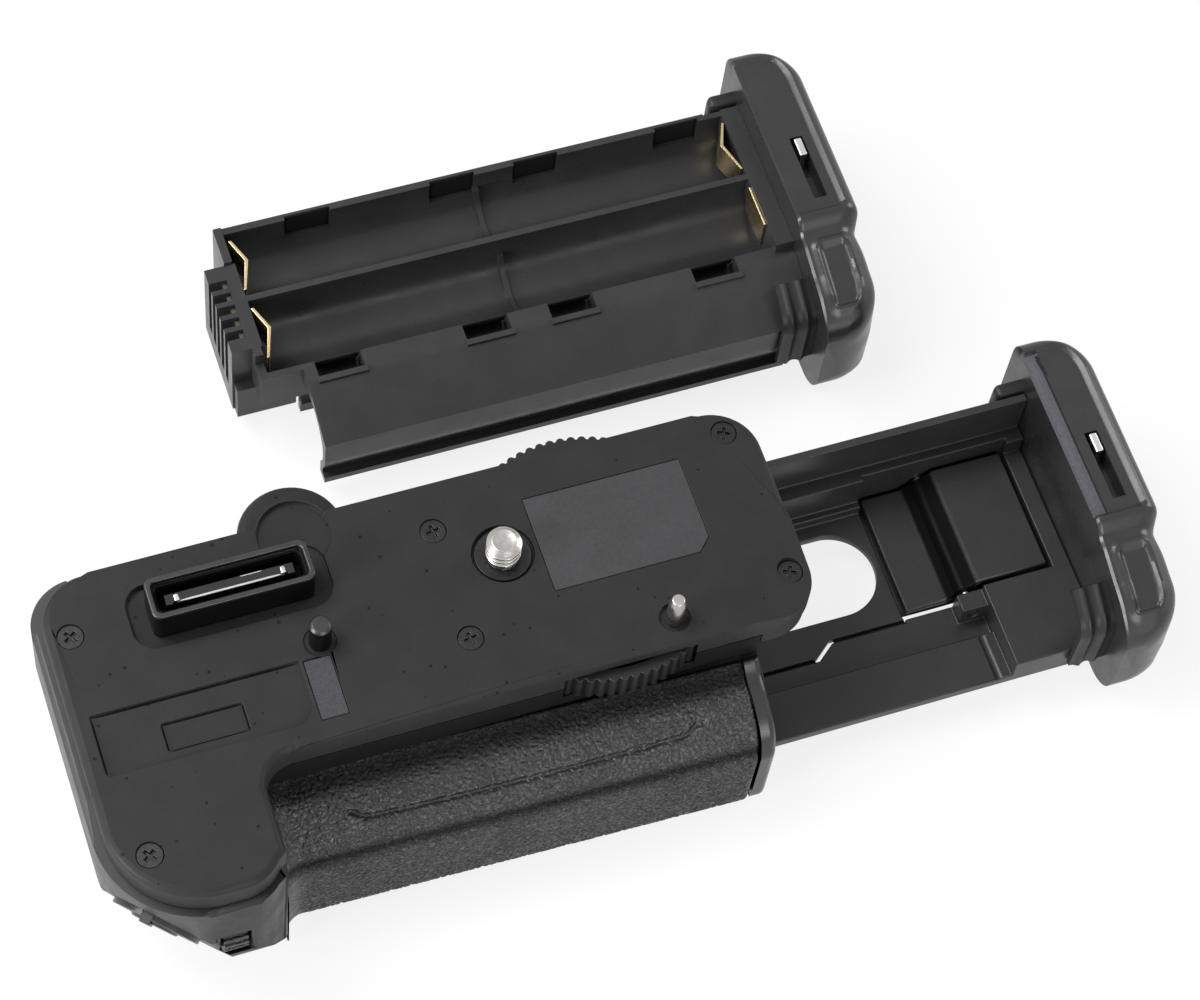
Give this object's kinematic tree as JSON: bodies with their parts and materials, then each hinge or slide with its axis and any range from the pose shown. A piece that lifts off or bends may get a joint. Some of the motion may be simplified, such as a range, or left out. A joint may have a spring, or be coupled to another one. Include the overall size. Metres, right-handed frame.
{
  "type": "camera battery grip",
  "caption": "Vertical camera battery grip with a geared screw wheel, its battery holder half drawn out and a separate cell magazine behind it.",
  "frame": {"origin": "on the axis of the camera screw, in the plane of the deck that meets the camera", "axes": "+Z out of the deck along the camera screw, +X along the grip towards the battery holder, +Y towards the viewer"},
  "size_m": [0.2038, 0.1457, 0.0513],
  "materials": {
    "deck_plastic": "fine speckled moulded texture",
    "shell_plastic": "fine moulded texture",
    "satin_plastic": "smooth satin moulding",
    "inner_plastic": "plain moulding",
    "grip_rubber": "leather like grain",
    "soft_seal": "smooth soft rubber",
    "steel": "turned steel",
    "bright_metal": "bright plated",
    "contact_metal": "plated spring sheet",
    "black_metal": "blackened steel",
    "board": "circuit board laminate",
    "label": "bare matt film",
    "rest_rubber": "rough pad"
  },
  "bodies": {
    "grip": {"top_deck": "deck_plastic", "seam_gasket": "soft_seal", "lower_shell": "shell_plastic", "floor_panel": "shell_plastic", "rear_panel": "shell_plastic", "shutter_block": "shell_plastic", "bulge_rubber": "grip_rubber", "bulge_collar": "satin_plastic", "chamber_roof": "inner_plastic", "guide_rails": "inner_plastic", "contact_block": "inner_plastic", "contact_blades": "contact_metal", "control_board": "board", "plug_shroud": "satin_plastic", "plug_insert": "contact_metal", "locating_peg": "satin_plastic", "locating_pin": "steel", "label_plate": "label", "rest_pad": "rest_rubber", "deck_screws": "black_metal", "base_plate": "shell_plastic", "tripod_socket": "steel", "base_pads": "soft_seal", "wheel_axle": "steel", "front_dial_axle": "steel", "rear_dial_axle": "steel"},
    "wheel": {"thumbwheel": "satin_plastic"},
    "screw": {"camera_screw": "steel", "screw_pinion": "contact_metal", "screw_clip": "steel"},
    "shutter": {"shutter_button": "satin_plastic"},
    "ring": {"shutter_ring": "satin_plastic"},
    "front_wheel": {"front_dial": "grip_rubber"},
    "rear_wheel": {"rear_dial": "grip_rubber"},
    "lock": {"lock_button": "satin_plastic"},
    "gimbal": {"selector_gimbal": "inner_plastic"},
    "selector": {"selector_pad": "satin_plastic"},
    "holder": {"holder_tray": "inner_plastic", "holder_terminal": "inner_plastic", "holder_contacts": "contact_metal", "holder_cap": "satin_plastic", "holder_gasket": "soft_seal", "eject_pin": "steel"},
    "lever": {"eject_lever": "inner_plastic"},
    "holder_lock": {"holder_knob": "satin_plastic"},
    "holder_latch": {"holder_tab": "bright_metal"},
    "magazine": {"cell_frame": "inner_plastic", "cell_terminal": "inner_plastic", "cell_contacts": "contact_metal", "cell_springs": "contact_metal", "cell_plates": "contact_metal", "cell_under_contacts": "contact_metal", "cell_cap": "satin_plastic", "cell_gasket": "soft_seal"},
    "magazine_lock": {"cell_knob": "satin_plastic"},
    "magazine_latch": {"cell_tab": "bright_metal"}
  },
  "joints": [
    {"name": "wheel_turn", "type": "hinge", "parent": "grip", "child": "wheel", "pos_m": [0.01557, -0.00368, -0.006], "axis": [0, 0, 1], "continuous": true},
    {"name": "screw_turn", "type": "hinge", "parent": "grip", "child": "screw", "pos_m": [0, 0, 0], "axis": [0, 0, 1], "continuous": true},
    {"name": "shutter_press", "type": "slide", "parent": "grip", "child": "shutter", "axis": [0.6762, 0.6762, 0.2924], "range_m": [0, 0.0012], "stiffness_N_per_m": 800},
    {"name": "ring_turn", "type": "hinge", "parent": "grip", "child": "ring", "pos_m": [-0.0635, -0.03, -0.0145], "axis": [-0.6762, -0.6762, -0.2924], "range_deg": [0, 35]},
    {"name": "front_dial_turn", "type": "hinge", "parent": "grip", "child": "front_wheel", "pos_m": [-0.0624, -0.0396, -0.023], "axis": [1, 0, 0], "continuous": true},
    {"name": "rear_dial_turn", "type": "hinge", "parent": "grip", "child": "rear_wheel", "pos_m": [-0.0755, 0.0128, -0.021], "axis": [1, 0, 0], "continuous": true},
    {"name": "lock_press", "type": "slide", "parent": "grip", "child": "lock", "axis": [0, -1, 0], "range_m": [0, 0.0008], "stiffness_N_per_m": 800},
    {"name": "selector_pitch", "type": "hinge", "parent": "grip", "child": "gimbal", "pos_m": [-0.0642, 0.01525, -0.03], "axis": [1, 0, 0], "range_deg": [-4, 4], "stiffness_Nm_per_rad": 0.2},
    {"name": "selector_yaw", "type": "hinge", "parent": "gimbal", "child": "selector", "pos_m": [-0.0642, 0.01525, -0.03], "axis": [0, 0, 1], "range_deg": [-4, 4], "stiffness_Nm_per_rad": 0.2},
    {"name": "holder_slide", "type": "slide", "parent": "grip", "child": "holder", "axis": [1, 0, 0], "range_m": [-0.0682, 0.055]},
    {"name": "lever_tilt", "type": "hinge", "parent": "holder", "child": "lever", "pos_m": [0.0884, -0.0038, -0.0351], "axis": [0, 1, 0], "range_deg": [0, 8], "stiffness_Nm_per_rad": 0.1},
    {"name": "holder_lock_turn", "type": "hinge", "parent": "holder", "child": "holder_lock", "pos_m": [0.1196, -0.004, -0.027], "axis": [1, 0, 0], "range_deg": [0, 90]},
    {"name": "holder_latch_slide", "type": "slide", "parent": "holder", "child": "holder_latch", "axis": [0, -1, 0], "range_m": [0, 0.008]},
    {"name": "magazine_lift", "type": "slide", "parent": "grip", "child": "magazine", "axis": [0, 0, 1], "range_m": [0, 0.1]},
    {"name": "magazine_lock_turn", "type": "hinge", "parent": "magazine", "child": "magazine_lock", "pos_m": [0.0895, 0.0731, -0.0279], "axis": [1, 0, 0], "range_deg": [0, 90]},
    {"name": "magazine_latch_slide", "type": "slide", "parent": "magazine", "child": "magazine_latch", "axis": [0, -1, 0], "range_m": [0, 0.008]}
  ],
  "couplings": [
    {"joint": "screw_turn", "follows": "wheel_turn", "ratio": -2.6364},
    {"joint": "holder_latch_slide", "follows": "holder_lock_turn", "m_per_rad": 0.005093},
    {"joint": "magazine_latch_slide", "follows": "magazine_lock_turn", "m_per_rad": 0.005093}
  ]
}
